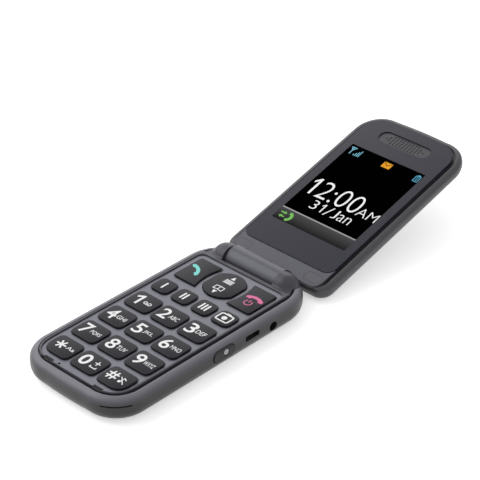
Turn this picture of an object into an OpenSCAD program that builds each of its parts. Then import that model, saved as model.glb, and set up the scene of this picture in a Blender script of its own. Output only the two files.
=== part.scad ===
// Clamshell phone: a keypad base and a display lid joined by a barrel hinge, standing open.
// X to the phone's right, Y from the chin to the hinge, Z up, millimetres.
// The origin is the middle of the base's flat underside.

/* [Base] */
// Width of the base
base_w = 52; // [51:0.5:58]
// Length of the base from the chin to the end behind the hinge
base_l = 103; // [102:0.5:110]
// Height of the base from its underside to the keypad face
base_t = 10; // [9.8:0.1:11]
// Plan radius of the chin corners
chin_r = 14; // [12:0.5:15]
// Plan radius of the bowed chin edge
chin_bow_r = 140; // [110:5:200]
// Plan radius of the corners beside the hinge
heel_r = 16; // [15:0.5:17]
// Radius of the lower long edges
keel_r = 5.4; // [4.6:0.1:5.8]
// Radius of the upper long edges
rim_r = 3; // [2.4:0.1:3.1]
// Thickness of the side walls
wall = 1.8; // [1.5:0.1:1.9]
// Height of the parting line of the battery cover
cover_h = 3.2; // [2.8:0.1:3.3]
// Thickness of the battery cover's floor
cover_t = 1.2; // [1:0.1:1.4]
// Inset of the groove's outer edge
groove_in = 3.1; // [3.1:0.1:3.4]
// Inset of the keypad face from the outer outline
plate_in = 4; // [3.9:0.1:4.3]
// Thickness of the keypad face
plate_t = 1.4; // [1.2:0.1:1.5]
// Inset of the inner edge of the ledge under the keypad face
ledge_in = 4.9; // [4.7:0.1:5]
// Thickness of the ledge under the keypad face
ledge_t = 1.2; // [1:0.1:1.3]
// Thickness of the floor under the main board
floor_t = 0.7; // [0.6:0.1:0.8]

/* [Hinge] */
// Height of the hinge axis above the underside
hinge_z = 8.2; // [8.1:0.1:8.6]
// Distance of the hinge axis from the end of the base
hinge_in = 6; // [5.9:0.1:6.4]
// Radius of the base's hinge ears
ear_r = 5.3; // [5.1:0.1:5.5]
// Length of an ear along the hinge axis
ear_l = 7.55; // [7.3:0.05:7.9]
// Distance of the ears' outer ends from the base's sides
ear_side = 5.7; // [5.5:0.1:6.2]
// Distance of the ears' middle in front of the hinge axis
ear_fore = 1.3; // [1:0.1:1.5]
// Height of the ears' middle above the hinge axis
ear_up = 0.3; // [0.1:0.1:0.4]
// Radius of the hollow between the ears and the keypad face
ear_fillet = 3; // [2:0.2:3.4]
// Radius of the lid's barrel
barrel_r = 5.3; // [5:0.1:5.4]
// Gap between the barrel and the base
barrel_gap = 0.5; // [0.4:0.05:0.6]
// Gap between the barrel's ends and the ears
barrel_end_gap = 0.25; // [0.2:0.05:0.4]
// Angle of the open lid above the table
open_tilt = 14.85; // [12:0.05:20]
// Radius of the cartridge's body in the barrel
cartridge_r = 3; // [2.8:0.1:3.4]
// Radius of the cartridge's pin in the right ear
pin_r = 2; // [1.6:0.1:2.2]
// Outer radius of the hollow bush in the left ear
bush_r = 2.5; // [2.3:0.1:2.7]
// Inner radius of the hollow bush
bush_hole_r = 1.6; // [1.2:0.1:1.9]
// Running clearance on the hinge pins
run_gap = 0.05; // [0.03:0.01:0.08]

/* [Keypad] */
// Distance from the hinge axis to the first row of digit keys
digit_y = 45.8; // [45.4:0.1:46.2]
// Distance from the chin's edge to the last row of digit keys
digit_end = 13.1; // [12.8:0.1:13.6]
// Distance of the outer digit keys from the base's sides
digit_side = 6.75; // [6.5:0.05:7.4]
// Gap between the columns of digit keys
column_gap = 2; // [1.7:0.1:2.6]
// Gap between the rows of digit keys
row_gap = 3.5; // [3.1:0.1:4.2]
// Corner radius of a digit key
digit_r = 2; // [1:0.1:3]
// Outer chin corner radius of the two corner keys
corner_r = 4.2; // [2:0.2:4.4]
// Distance from the hinge axis to the row of small keys
quick_y = 33.6; // [33.2:0.1:34]
// Distance of the outer small keys from the base's sides
quick_side = 7; // [6.6:0.1:7.6]
// Gap between the small keys
quick_gap = 2.8; // [2.4:0.1:3.4]
// Depth of a small key
quick_d = 7.4; // [6.6:0.1:7.8]
// Corner radius of a small key
quick_r = 2.2; // [1:0.1:3]
// Distance from the hinge axis to the middle of the navigation key
nav_y = 18; // [17.6:0.1:18.2]
// Radius of the navigation key
nav_r = 8.9; // [8:0.1:9.1]
// Ridge of the keypad face between the navigation key and the call keys
nav_ridge = 1.8; // [1.6:0.1:2.4]
// Distance of the call keys' outer edges from the base's sides
call_side = 6; // [5.8:0.1:6.6]
// Distance from the hinge axis to the call keys' chin edges
call_y0 = 25.3; // [24.8:0.1:25.8]
// Distance from the hinge axis to the call keys' outer hinge corners
call_y1 = 9.2; // [9:0.1:10]
// Height of the keys above the keypad face
key_rise = 0.9; // [0.6:0.05:1]
// Rounding of the keys' upper edges
key_edge = 0.3; // [0.2:0.05:0.45]
// Gap around each key in the keypad face
key_gap = 0.2; // [0.15:0.05:0.25]
// Travel of the keys
key_travel = 0.3; // [0.2:0.05:0.35]
// Width of the retaining lip around each key
key_lip = 0.45; // [0.4:0.05:0.5]
// Thickness of the retaining lip
lip_t = 0.6; // [0.5:0.05:0.65]
// Thickness of the silicone mat
mat_t = 0.4; // [0.3:0.05:0.45]
// Height of the dome switches
dome_t = 0.2; // [0.15:0.05:0.25]
// Radius of a dome switch
dome_r = 2; // [1.5:0.1:2.2]
// Slip fit between pieces of the base
slip = 0.1; // [0.06:0.01:0.12]

/* [Side keys and ports] */
// Distance from the hinge axis to the side key
side_y = 44.8; // [44:0.1:45.6]
// Length of the side key
side_l = 10.6; // [9:0.1:11.2]
// Height of the side key
side_h = 4.2; // [3.4:0.1:4.4]
// Height of the side key's middle above the underside
side_z = 6.4; // [6.2:0.1:6.5]
// Distance from the hinge axis to the volume rocker
volume_y = 31; // [30:0.1:33]
// Length of the volume rocker
volume_l = 18; // [15:0.5:19]
// Height of the volume rocker
volume_h = 3; // [2.6:0.1:3.2]
// Height of the volume rocker's middle above the underside
volume_z = 6; // [5.8:0.1:6.2]
// Distance the side keys stand out of the wall
side_proud = 0.35; // [0.3:0.05:0.5]
// Distance from the hinge axis to the headphone socket
jack_y = 19.65; // [19:0.05:20]
// Radius of the headphone socket
jack_r = 1.8; // [1.75:0.05:1.85]
// Length of the headphone socket
jack_l = 13; // [12:0.5:13.5]
// Width of the headphone socket's block
jack_w = 6; // [5:0.1:6.2]
// Thickness of the headphone socket above and below its bore
jack_wall = 0.4; // [0.3:0.05:0.5]
// Distance from the hinge axis to the USB socket
usb_y = 30.4; // [30:0.1:30.8]
// Outer width of the USB socket
usb_w = 7.6; // [7.4:0.1:8]
// Outer height of the USB socket
usb_h = 2.6; // [2.4:0.1:2.7]
// Depth of the USB socket
usb_l = 4.3; // [4:0.1:4.4]
// Sheet thickness of the USB socket
usb_t = 0.3; // [0.2:0.05:0.35]

/* [Inside the base] */
// Thickness of the main board
board_t = 0.8; // [0.6:0.05:0.9]
// Inset of the main board from the outer outline
board_in = 3.5; // [3.4:0.1:3.8]
// Width of the battery
battery_w = 37; // [34:0.5:38]
// Length of the battery
battery_l = 52; // [48:0.5:53]
// Distance from the chin's edge to the battery
battery_end = 10.5; // [10:0.1:11]
// Distance from the hinge axis to the loudspeaker and the vibration motor
speaker_y = 13.5; // [13:0.1:14]
// Length of the loudspeaker
speaker_l = 16; // [13:0.5:17]
// Width of the loudspeaker
speaker_w = 11; // [9:0.5:12]
// Height of the loudspeaker
speaker_t = 3; // [2.4:0.1:3.1]
// Radius of the vibration motor
motor_r = 4.5; // [4:0.1:4.8]
// Height of the vibration motor
motor_t = 2.6; // [2:0.1:2.8]
// Distance of the microphone hole from the base's left side
mic_side = 18.4; // [17.6:0.1:19.2]
// Distance from the chin's edge to the microphone hole
mic_end = 5.6; // [5.2:0.1:5.8]
// Radius of the microphone
mic_r = 1.6; // [1.2:0.1:1.8]
// Radius of the screws' shanks
screw_r = 0.7; // [0.6:0.05:0.75]
// Radius of the screws' heads
head_r = 1.2; // [1:0.05:1.3]
// Height of the screws' heads
head_t = 0.9; // [0.7:0.05:1]
// Distance of the chin bumpers from the base's sides
bumper_side = 13.6; // [13:0.1:14.2]
// Distance from the chin's edge to the chin bumpers
bumper_end = 5.2; // [5.1:0.1:5.6]
// Length of a chin bumper
bumper_l = 4.2; // [3.4:0.1:4.6]
// Width of a chin bumper
bumper_w = 1; // [0.8:0.05:1.1]

/* [Lid] */
// Distance of the lid's sides from the base's sides
lid_side = 0.3; // [0.1:0.05:0.5]
// Distance from the hinge axis to the lid's far end
lid_reach = 98.2; // [97.6:0.1:103]
// Distance from the hinge axis to the lid's near end
lid_heel = 6.2; // [6.1:0.1:6.6]
// Plan radius of the lid's far corners
lid_top_r = 12; // [10:0.5:13]
// Plan radius of the bowed far edge
lid_bow_r = 200; // [140:5:250]
// Plan radius of the lid's near corners
lid_heel_r = 6; // [5:0.5:7]
// Depth of the lid's outer face under the hinge axis
lid_back = 10.9; // [10.8:0.1:11.6]
// Radius of the outer cover's edge
lid_edge_r = 4.2; // [4:0.1:4.3]
// Thickness of the outer cover
lid_cover_t = 1.2; // [1:0.1:1.3]
// Depth of the lid's side rim under the hinge axis
lid_rim = 4.3; // [4.2:0.1:4.5]
// Radius of the lid's side rim
lid_rim_r = 2; // [1.6:0.1:2]
// Width of the lid's side rim
lid_rim_w = 2.4; // [2.2:0.1:2.6]
// Depth of the groove's bottom under the hinge axis
lid_groove = 5.3; // [5.1:0.1:5.4]
// Thickness of the lid frame's floor
lid_floor_t = 1; // [0.8:0.1:1.1]
// Wall of the lid frame
lid_wall = 1.3; // [1.1:0.1:1.4]

/* [Display side] */
// Distance of the raised panel from the lid's sides
panel_side = 3.4; // [3.1:0.1:3.7]
// Distance of the raised panel from the lid's far end
panel_end = 3.2; // [3:0.1:3.6]
// Plan radius of the panel's far corners
panel_top_r = 9; // [7:0.2:9.6]
// Plan radius of the panel's near corners
panel_heel_r = 4; // [2:0.2:5]
// Depth of the band between the hinge and the lens under the hinge axis
band_n = 3.4; // [3.3:0.05:3.6]
// Depth of the lens surface under the hinge axis
lens_n = 3.25; // [3.2:0.05:3.35]
// Thickness of the lens
lens_t = 1; // [0.8:0.05:1.1]
// Distance from the hinge axis to the lens's near edge
lens_y = 14.6; // [14.4:0.1:15.2]
// Corner radius of the lens's near corners
lens_r = 4; // [2:0.2:5]
// Rounding of the lens's upper edge
lens_edge = 0.3; // [0.2:0.05:0.4]
// Width of the display's glass
display_w = 38; // [37:0.1:39]
// Distance from the hinge axis to the display's glass
display_foot = 26.8; // [26.4:0.1:27.2]
// Distance from the lid's far end to the display's glass
display_head = 21; // [20.6:0.1:21.4]
// Border of the display module around its glass
display_border = 2.4; // [2:0.1:2.5]
// Thickness of the display module under the frame's floor
display_t = 2; // [1.6:0.1:2.1]
// Thickness of the lid board
lid_board_t = 0.8; // [0.6:0.05:0.9]
// Distance from the lid's far end to the earpiece
ear_piece_end = 11.7; // [11.2:0.1:12.2]
// Length of the earpiece opening
ear_piece_l = 24.9; // [23:0.1:26]
// Width of the earpiece opening
ear_piece_w = 6.4; // [5.8:0.1:6.6]
// Thickness of the earpiece grille
grille_t = 0.5; // [0.4:0.05:0.6]
// Radius of a hole in the earpiece grille
grille_r = 0.32; // [0.25:0.01:0.36]
// Pitch of the holes along the grille
grille_dx = 1.5; // [1.3:0.05:1.6]
// Pitch of the rows of holes
grille_dy = 1.05; // [0.95:0.05:1.1]
// Distance of the screw covers from the lid's sides
cap_side = 8.1; // [7.9:0.1:8.7]
// Distance from the hinge axis to the screw covers
cap_y = 10.5; // [10.4:0.1:10.8]
// Length of a screw cover
cap_l = 7.2; // [6.4:0.1:7.4]
// Width of a screw cover
cap_w = 4.2; // [3.6:0.1:4.4]
// Corner radius of a screw cover
cap_r = 1.2; // [0.6:0.1:1.6]
// Thickness of a screw cover
cap_t = 0.7; // [0.5:0.05:0.8]
// Distance from the hinge axis to the camera
camera_y = 15; // [14.6:0.1:15.4]
// Radius of the camera window
camera_r = 3.2; // [2.6:0.1:3.4]
// Side of the camera module
camera_w = 7.5; // [6.5:0.1:8]

/* [Hidden] */
$fa = 4;
$fs = 0.3;
eps = 0.01;
// How far a cut runs past a face
over = 1;

// Hinge axis, ears and chin
hinge_y = base_l / 2 - hinge_in;
ear_end = base_w / 2 - ear_side;
ear_x = ear_end - ear_l;
ear_c = ear_end - ear_r;
ear_y = hinge_y - ear_fore;
ear_z = hinge_z + ear_up;
ear_cap = 3.4;
ear_bore_x = ear_end - ear_cap;
chin_y = -base_l / 2;

// Keys
digit_w = (base_w - 2 * digit_side - 2 * column_gap) / 3;
digit_dx = digit_w + column_gap;
digit_dy = (base_l - hinge_in - digit_y - digit_end) / 3;
digit_d = digit_dy - row_gap;
quick_w = (base_w - 2 * quick_side - 3 * quick_gap) / 4;
quick_dx = quick_w + quick_gap;
call_x = base_w / 2 - call_side;

// Heights in the base, from the keypad face down
face_z = base_t - plate_t;
lip_z = face_z - slip - lip_t;
mat_top = lip_z - key_travel - slip;
mat_z = mat_top - mat_t;
dome_z = mat_z - dome_t;
board_z = dome_z - board_t;
floor_z = board_z - floor_t;
key_top = base_t + key_rise;

// Ports and inner rooms of the base
jack_z = mat_top - jack_wall - jack_r;
jack_x1 = base_w / 2 - wall - slip;
usb_rise = 0.6;
usb_z = board_z + usb_rise;
notch_y = hinge_y - barrel_r - barrel_gap;
bulkhead_t = 1.2;
mat_slack = 0.4;
mat_in = ledge_in + mat_slack;
mat_end = 7.9;
rib_t = 0.8;
rib_gap = 0.15;
rib_clear = 0.3;
saddle_drop = 3.8;
saddle_top = hinge_z - saddle_drop;
ear_gap = 0.3;
lip_drop = 1.6;
lip_cut_z = hinge_z - lip_drop;
chin_screw_side = 13.5;
chin_screw_end = 6.65;
chin_screw = [base_w / 2 - chin_screw_side, chin_y + chin_screw_end];
chin_boss_r = 1.15;
ear_screw_in = 4.75;
ear_screw_y = 4;
ear_screw = [ear_x + ear_screw_in, hinge_y - ear_screw_y];
mic_place = [mic_side - base_w / 2, chin_y + mic_end];
motor_x = keel_r + motor_r - base_w / 2;
speaker_gap = 1;
speaker_x = motor_x + motor_r + speaker_gap + speaker_l / 2;
battery_y = chin_y + battery_end;
lip_d = 0.45;
rock_r = 0.4;
rock_gap = 0.05;
screw_gap = 0.05;

// Places and depths in the lid
lid_w = base_w - 2 * lid_side;
panel_w = lid_w - 2 * panel_side;
panel_top = lid_reach - panel_end;
display_l = lid_reach - display_foot - display_head;
display_y = display_foot + display_l / 2;
ear_piece_y = lid_reach - ear_piece_end;
cap_x = lid_w / 2 - cap_side;
lid_split = lid_edge_r - lid_back;
seat_n = -lens_n - lens_t;
frame_n = -lid_groove - lid_floor_t;
board_n = frame_n - display_t - lid_board_t;
cover_n = lid_cover_t - lid_back;
cap_screw_n = -band_n - cap_t;
lid_gap = 0.1;
seam = 1;
panel_in = 0.6;

// Straight run left beside the bow at each far corner
cover_land = 2;
wall_land = 3;

// Plan of a half: width, square end, bowed end, square corner radius, bowed corner radius, bow radius, land
base_plan = [base_w, -base_l / 2, base_l / 2, heel_r, chin_r, chin_bow_r, cover_land];
wall_plan = [base_w, -base_l / 2, base_l / 2, heel_r, chin_r, chin_bow_r, wall_land];
lid_plan = [lid_w, lid_heel, lid_reach, lid_heel_r, lid_top_r, lid_bow_r, cover_land];
panel_plan = [panel_w, lid_heel + panel_in, panel_top, panel_heel_r, panel_top_r, lid_bow_r, cover_land];

function far_x(p) = p[0] / 2 - p[4];
function crown_x(p) = far_x(p) - p[6];
function far_y(p) = p[2] - p[5] + sqrt(pow(p[5], 2) - pow(crown_x(p), 2));
function far_c(p) = far_y(p) - p[4];
function crown_a(p) = asin((crown_x(p) + p[6] / 2) / p[5]);
function end_x(p) = p[0] / 2 - p[3];
function end_y(p) = p[1] + p[3];

DIGITS = ["1", "2", "3", "4", "5", "6", "7", "8", "9", "star", "0", "hash"];
QUICK = ["quick_key_1", "quick_key_2", "quick_key_3", "camera_key"];
DIGIT_NODES = [for (d = DIGITS) str("key_", d)];

// Outline of a half seen from above, set in from its edge
module plan(p, inset) {
    tip_x = crown_x(p) + p[6] / 2;
    translate([inset - p[0] / 2, end_y(p)])
        square([p[0] - 2 * inset, far_c(p) - end_y(p)]);
    translate([-end_x(p), p[1] + inset])
        square([2 * end_x(p), far_c(p) - p[1] - inset]);
    translate([-far_x(p), end_y(p)])
        square([2 * far_x(p), far_y(p) - inset - end_y(p)]);
    for (s = [-1, 1]) {
        translate([s * end_x(p), end_y(p)]) circle(p[3] - inset);
        translate([s * far_x(p), far_c(p)]) circle(p[4] - inset);
    }
    intersection() {
        translate([0, p[2] - p[5]]) circle(p[5] - inset);
        translate([-tip_x, far_c(p)]) square([2 * tip_x, p[5]]);
    }
}

// Carries a wall section around the outline; the section's x is the distance out from the edge
module around(p) {
    for (s = [0, 1]) mirror([s, 0, 0]) {
        translate([p[0] / 2, far_c(p), 0]) rotate([90, 0, 0])
            linear_extrude(far_c(p) - end_y(p)) children();
        translate([far_x(p), far_c(p), 0])
            rotate_extrude(angle = 90) translate([p[4], 0]) children();
        translate([end_x(p), end_y(p), 0]) rotate(-90)
            rotate_extrude(angle = 90) translate([p[3], 0]) children();
    }
    translate([-far_x(p), far_y(p), 0]) rotate([90, 0, 90])
        linear_extrude(2 * far_x(p)) children();
    translate([0, p[2] - p[5], 0]) rotate(90 - crown_a(p))
        rotate_extrude(angle = 2 * crown_a(p)) translate([p[5], 0]) children();
    translate([end_x(p), p[1], 0]) rotate([90, 0, -90])
        linear_extrude(2 * end_x(p)) children();
}

// Rounded rectangle in the middle of its own frame
module pad(w, d, r) {
    square([w - 2 * r, d], center = true);
    square([w, d - 2 * r], center = true);
    for (x = [-1, 1], y = [-1, 1])
        translate([x * (w / 2 - r), y * (d / 2 - r)]) circle(r);
}

// Turns the base's outlines round so that the bowed end is the chin
module base_face() {
    rotate(180) children();
}

// Puts a piece drawn along the lid into the open lid
module in_lid() {
    translate([0, hinge_y, hinge_z]) rotate([open_tilt, 0, 0]) children();
}

// Turns a shape drawn around Z onto the hinge axis, pointing to the right
module on_hinge() {
    translate([0, hinge_y, hinge_z]) rotate([0, 90, 0]) children();
}

module both_sides() {
    for (s = [0, 1]) mirror([s, 0, 0]) children();
}

// Outside of the base's side, grown by a given amount
module side_shape(grow) {
    translate([-keel_r, keel_r]) circle(keel_r + grow);
    translate([-rim_r, base_t - rim_r]) circle(rim_r + grow);
    translate([-keel_r, keel_r]) square([keel_r + grow, base_t - rim_r - keel_r]);
    translate([-keel_r, keel_r]) square([keel_r - rim_r, base_t - keel_r + grow]);
}

// Section of the rear housing's wall with its rim, groove and ledge
module wall_section() {
    difference() {
        intersection() {
            side_shape(0);
            translate([-ledge_in, cover_h]) square([ledge_in, base_t - cover_h]);
        }
        translate([-ledge_in - 1, cover_h - 1])
            square([ledge_in + 1 - wall, face_z - ledge_t - cover_h + 1]);
        translate([-ledge_in - 1, face_z])
            square([ledge_in + 1 - groove_in, plate_t + 1]);
    }
}

// Section of the battery cover's turned-up edge
module cover_section() {
    difference() {
        intersection() {
            translate([-keel_r, keel_r]) circle(keel_r);
            translate([-keel_r, 0]) square([keel_r, cover_h]);
        }
        translate([-keel_r, keel_r]) circle(keel_r - cover_t);
    }
}

// Ear of the base around the hinge with a domed end, grown by a given amount
module ear(grow) {
    translate([0, ear_y, ear_z]) rotate([0, 90, 0]) rotate_extrude() intersection() {
        union() {
            translate([0, ear_x]) square([ear_r + grow, ear_c - ear_x]);
            translate([0, ear_c]) circle(ear_r + grow);
        }
        translate([0, ear_x]) square([ear_r + grow, ear_end - ear_x + grow]);
    }
}

// Hollow between the ear and the keypad face, seen from the side with the ear's middle at the origin
module ear_hollow() {
    land = 0.05;
    bite = 0.05;
    step = base_t - ear_z;
    rise = step + ear_fillet + land;
    reach = ear_r + ear_fillet - bite;
    run = sqrt(pow(reach, 2) - pow(rise, 2));
    touch = ear_r / reach;
    difference() {
        polygon([[-run, step - plate_t], [-run, step + land], [-run, rise * touch], [-run * touch, rise * touch],
                 [0, rise * touch], [0, step - plate_t]]);
        translate([-run, rise]) circle(ear_fillet);
    }
}

// Skirt with that hollow along the right ear and around its domed end, as far as the face reaches
module ear_skirt() {
    translate([ear_x, ear_y, ear_z]) rotate([90, 0, 90]) linear_extrude(ear_c - ear_x) ear_hollow();
    intersection() {
        translate([ear_c, ear_y, ear_z]) rotate(-90) rotate_extrude(angle = 90) mirror([1, 0]) ear_hollow();
        translate([end_x(base_plan), -end_y(base_plan), 0]) cylinder(r = heel_r - plate_in, h = 2 * base_t);
    }
}

// Outline of a digit key; the two corner keys have one large corner
module digit_outline(col, row, grow) {
    w = digit_w + 2 * grow;
    d = digit_d + 2 * grow;
    r = digit_r + grow;
    big = corner_r + grow;
    s = col - 1;
    difference() {
        pad(w, d, r);
        if (row == 3 && col != 1)
            translate([s * w / 2 - (s > 0 ? big : 0), -d / 2]) square(big);
    }
    if (row == 3 && col != 1)
        translate([s * (w / 2 - big), big - d / 2]) circle(big);
}

// Outline of the end key; the call key is its mirror image
module end_outline(grow) {
    slope = 4.1;
    cut = 2;
    corner = 1;
    translate([0, hinge_y]) offset(r = corner + grow) offset(delta = -corner) difference() {
        polygon([[0, -call_y0], [call_x, -call_y0], [call_x, -call_y1 - cut], [call_x - cut, -call_y1],
                 [0, -call_y1 - slope]]);
        translate([0, -nav_y]) circle(nav_r + nav_ridge);
    }
}

// Places of the keys
module at_digit(i) {
    translate([(i % 3 - 1) * digit_dx, hinge_y - digit_y - floor(i / 3) * digit_dy]) children();
}

module at_quick(i) {
    translate([(i - 1.5) * quick_dx, hinge_y - quick_y]) children();
}

// Openings of the keypad face, or the keys' lips, by how far they are grown
module key_outlines(grow) {
    for (i = [0:11]) at_digit(i) digit_outline(i % 3, floor(i / 3), grow);
    for (i = [0:3]) at_quick(i) pad(quick_w + 2 * grow, quick_d + 2 * grow, quick_r + grow);
    translate([0, hinge_y - nav_y]) circle(nav_r + grow);
    end_outline(grow);
    mirror([1, 0]) end_outline(grow);
}

// Rooms that the sockets need in the housing and the board
module socket_rooms() {
    translate([jack_x1 - jack_l - slip, hinge_y - jack_y - jack_w / 2 - slip, jack_z - jack_r - jack_wall - slip])
        cube([jack_l + 2 * slip, jack_w + 2 * slip, 2 * jack_r + 2 * jack_wall + 2 * slip]);
    translate([jack_x1 - usb_l - slip, hinge_y - usb_y - usb_w / 2 - slip, usb_z - usb_h / 2 - slip])
        cube([usb_l + 2 * slip, usb_w + 2 * slip, usb_h + 2 * slip]);
}

// Side wall of the base with its rim, floor, battery bay, nail slot and the room for the hinge
module rear_housing() {
    nail_z = 7;
    nail_h = 0.5;
    nail_d = 0.6;
    nail_from = -68;
    nail_turn = 46;
    rib_h = floor_z - cover_t - rib_clear;
    bay_x = battery_w / 2 + rib_gap;
    bay_y = battery_y + battery_l + rib_gap;
    color([0.34, 0.34, 0.36]) difference() {
        union() {
            base_face() around(wall_plan) wall_section();
            translate([0, 0, floor_z]) linear_extrude(floor_t) intersection() {
                base_face() plan(wall_plan, wall - slip);
                translate([-base_w, notch_y - base_l]) square([2 * base_w, base_l]);
            }
            translate([-ear_x, notch_y - bulkhead_t, cover_h])
                cube([2 * ear_x, bulkhead_t, face_z - cover_h]);
            both_sides() {
                translate([bay_x, battery_y, floor_z - rib_h])
                    cube([rib_t, battery_l + rib_gap + rib_t, rib_h + eps]);
                intersection() {
                    translate([ear_x, notch_y - bulkhead_t, cover_h])
                        cube([ear_end - ear_x + 1, hinge_y + 1 - notch_y + bulkhead_t, saddle_top - cover_h]);
                    linear_extrude(base_t) base_face() plan(wall_plan, wall - slip);
                }
            }
            translate([-bay_x - rib_t, bay_y, floor_z - rib_h])
                cube([2 * bay_x + 2 * rib_t, rib_t, rib_h + eps]);
        }
        both_sides() {
            ear(ear_gap);
            translate([ear_screw[0], ear_screw[1], 0]) cylinder(r = screw_r + screw_gap, h = base_t);
            translate([chin_screw[0], chin_screw[1], 0]) cylinder(r = screw_r + screw_gap, h = base_t);
        }
        translate([-ear_x, notch_y, 0]) cube([2 * ear_x, base_l, 2 * base_t]);
        translate([-ear_end, hinge_y, lip_cut_z]) cube([2 * ear_end, base_l, base_t]);
        socket_rooms();
        translate([jack_x1 - eps, hinge_y - jack_y, jack_z]) rotate([0, 90, 0])
            cylinder(r = jack_r + slip, h = wall + 1);
        translate([jack_x1 - eps, hinge_y - usb_y, usb_z]) rotate([90, 0, 90])
            linear_extrude(wall + 1) pad(usb_w - 2 * usb_t + slip, usb_h - 2 * usb_t + slip, 2 * usb_t);
        side_room(side_y, side_z, side_l, side_h, wall + lip_d + key_travel + 2 * slip);
        mirror([1, 0, 0])
            side_room(volume_y, volume_z, volume_l, volume_h, wall + key_travel + 2 * rock_r + rock_gap);
        translate([mic_place[0], mic_place[1], board_z]) cylinder(r = mic_r + slip, h = base_t);
        translate([far_x(wall_plan), -far_c(wall_plan), nail_z]) rotate(nail_from)
            rotate_extrude(angle = nail_turn) translate([chin_r - nail_d, 0]) square([nail_d + over, nail_h]);
    }
}

// Opening in the right wall for a side key, with the pocket for its lip to a given depth
module side_room(y, z, l, h, depth) {
    opening = wall + key_travel + slip;
    translate([base_w / 2 - opening, hinge_y - y, z]) rotate([90, 0, 90])
        linear_extrude(opening + 1) pad(l + 2 * key_gap, h + 2 * key_gap, h / 2 + key_gap - eps);
    translate([base_w / 2 - depth, hinge_y - y - l / 2 - key_lip - slip, z - h / 2 + key_lip - slip])
        cube([depth - wall, l + 2 * key_lip + 2 * slip, h / 2 + 2 * slip]);
}

// Keypad face with its key openings and the two ears of the hinge
module front_cover() {
    mic_hole_r = 0.5;
    color([0.49, 0.49, 0.53]) difference() {
        union() {
            translate([0, 0, face_z]) linear_extrude(plate_t) difference() {
                intersection() {
                    base_face() plan(base_plan, plate_in);
                    translate([-base_w, hinge_y - base_l]) square([2 * base_w, base_l]);
                }
                translate([-ear_x, notch_y]) square([2 * ear_x, base_l]);
                key_outlines(key_gap);
            }
            both_sides() {
                intersection() {
                    ear(0);
                    translate([0, 0, saddle_top]) linear_extrude(base_l) square(base_l);
                }
                ear_skirt();
                translate([chin_screw[0], chin_screw[1], floor_z + floor_t])
                    cylinder(r = chin_boss_r, h = face_z - floor_z - floor_t + eps);
            }
        }
        on_hinge() translate([0, 0, ear_x - 1]) cylinder(r = pin_r + run_gap, h = ear_bore_x - ear_x + 1);
        on_hinge() translate([0, 0, -ear_bore_x]) cylinder(r = bush_r, h = ear_bore_x - ear_x + 1);
        both_sides() {
            translate([ear_screw[0], ear_screw[1], 0]) cylinder(r = screw_r, h = hinge_z);
            translate([chin_screw[0], chin_screw[1], 0]) cylinder(r = screw_r, h = face_z);
            bumper(slip, 1);
        }
        translate([mic_place[0], mic_place[1], face_z - over]) cylinder(r = mic_hole_r, h = plate_t + 2 * over);
    }
}

// Rubber bumper on the right of the chin
module bumper(grow, over) {
    depth = 0.7;
    turn = 4;
    translate([base_w / 2 - bumper_side, chin_y + bumper_end, base_t - depth]) rotate(turn)
        linear_extrude(depth + over) pad(bumper_l + 2 * grow, bumper_w + 2 * grow, bumper_w / 2 + grow - eps);
}

module chin_bumpers() {
    proud = 0.15;
    color([0.1, 0.1, 0.1]) both_sides() bumper(0, proud);
}

// Snap-on cover of the battery, with the loudspeaker's slots
module battery_cover() {
    slot_l = 8;
    slot_w = 1;
    slot_dy = 2;
    sill = 0.1;
    color([0.34, 0.34, 0.36]) difference() {
        union() {
            base_face() around(base_plan) cover_section();
            linear_extrude(cover_t) base_face() plan(base_plan, keel_r);
        }
        translate([-ear_x, hinge_y, hinge_z - barrel_r - barrel_gap + sill]) cube([2 * ear_x, base_l, base_t]);
        on_hinge() cylinder(r = barrel_r + barrel_gap, h = 2 * ear_x, center = true);
        for (i = [-2:2]) translate([speaker_x, hinge_y - speaker_y + i * slot_dy, -over])
            linear_extrude(cover_t + 2 * over) pad(slot_l, slot_w, slot_w / 2 - eps);
    }
}

module battery() {
    color([0.2, 0.2, 0.22]) translate([-battery_w / 2, battery_y, cover_t + slip])
        cube([battery_w, battery_l, floor_z - cover_t - 2 * slip]);
}

// Circuit board with cut-outs for the sockets and the screw bosses
module main_board() {
    color([0.1, 0.35, 0.2]) difference() {
        translate([0, 0, board_z]) linear_extrude(board_t) intersection() {
            base_face() plan(base_plan, board_in);
            translate([-base_w, notch_y - bulkhead_t - slip - base_l]) square([2 * base_w, base_l]);
        }
        socket_rooms();
        both_sides() {
            ear(ear_gap);
            translate([chin_screw[0], chin_screw[1], 0]) cylinder(r = chin_boss_r + slip, h = base_t);
            translate([ear_x, ear_y + ear_z - base_t - ear_r - ear_fillet, 0]) cube([base_w, base_l, base_t]);
        }
    }
}

// Domes under the keys of the face
module dome_switches() {
    top_r = 0.7;
    color([0.75, 0.72, 0.6]) translate([0, 0, dome_z]) {
        for (i = [0:11]) at_digit(i) cylinder(r1 = dome_r, r2 = dome_r * top_r, h = dome_t);
        for (i = [0:3]) at_quick(i) cylinder(r1 = dome_r, r2 = dome_r * top_r, h = dome_t);
        for (s = [-1, 1]) translate([0, hinge_y - nav_y + s * nav_r * top_r])
            cylinder(r1 = dome_r, r2 = dome_r * top_r, h = dome_t);
        for (s = [-1, 1]) translate([s * (call_x - dome_r - 1), hinge_y - call_y1 - dome_r - 1])
            cylinder(r1 = dome_r, r2 = dome_r * top_r, h = dome_t);
    }
}

// Silicone sheet between the keys and the domes
module key_mat() {
    color([0.8, 0.8, 0.8]) difference() {
        translate([0, 0, mat_z]) linear_extrude(mat_t) intersection() {
            base_face() plan(base_plan, mat_in);
            translate([-base_w, chin_y + mat_end])
                square([2 * base_w, ear_y - ear_r - ear_fillet - chin_y - mat_end]);
        }
        socket_rooms();
    }
}

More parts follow.
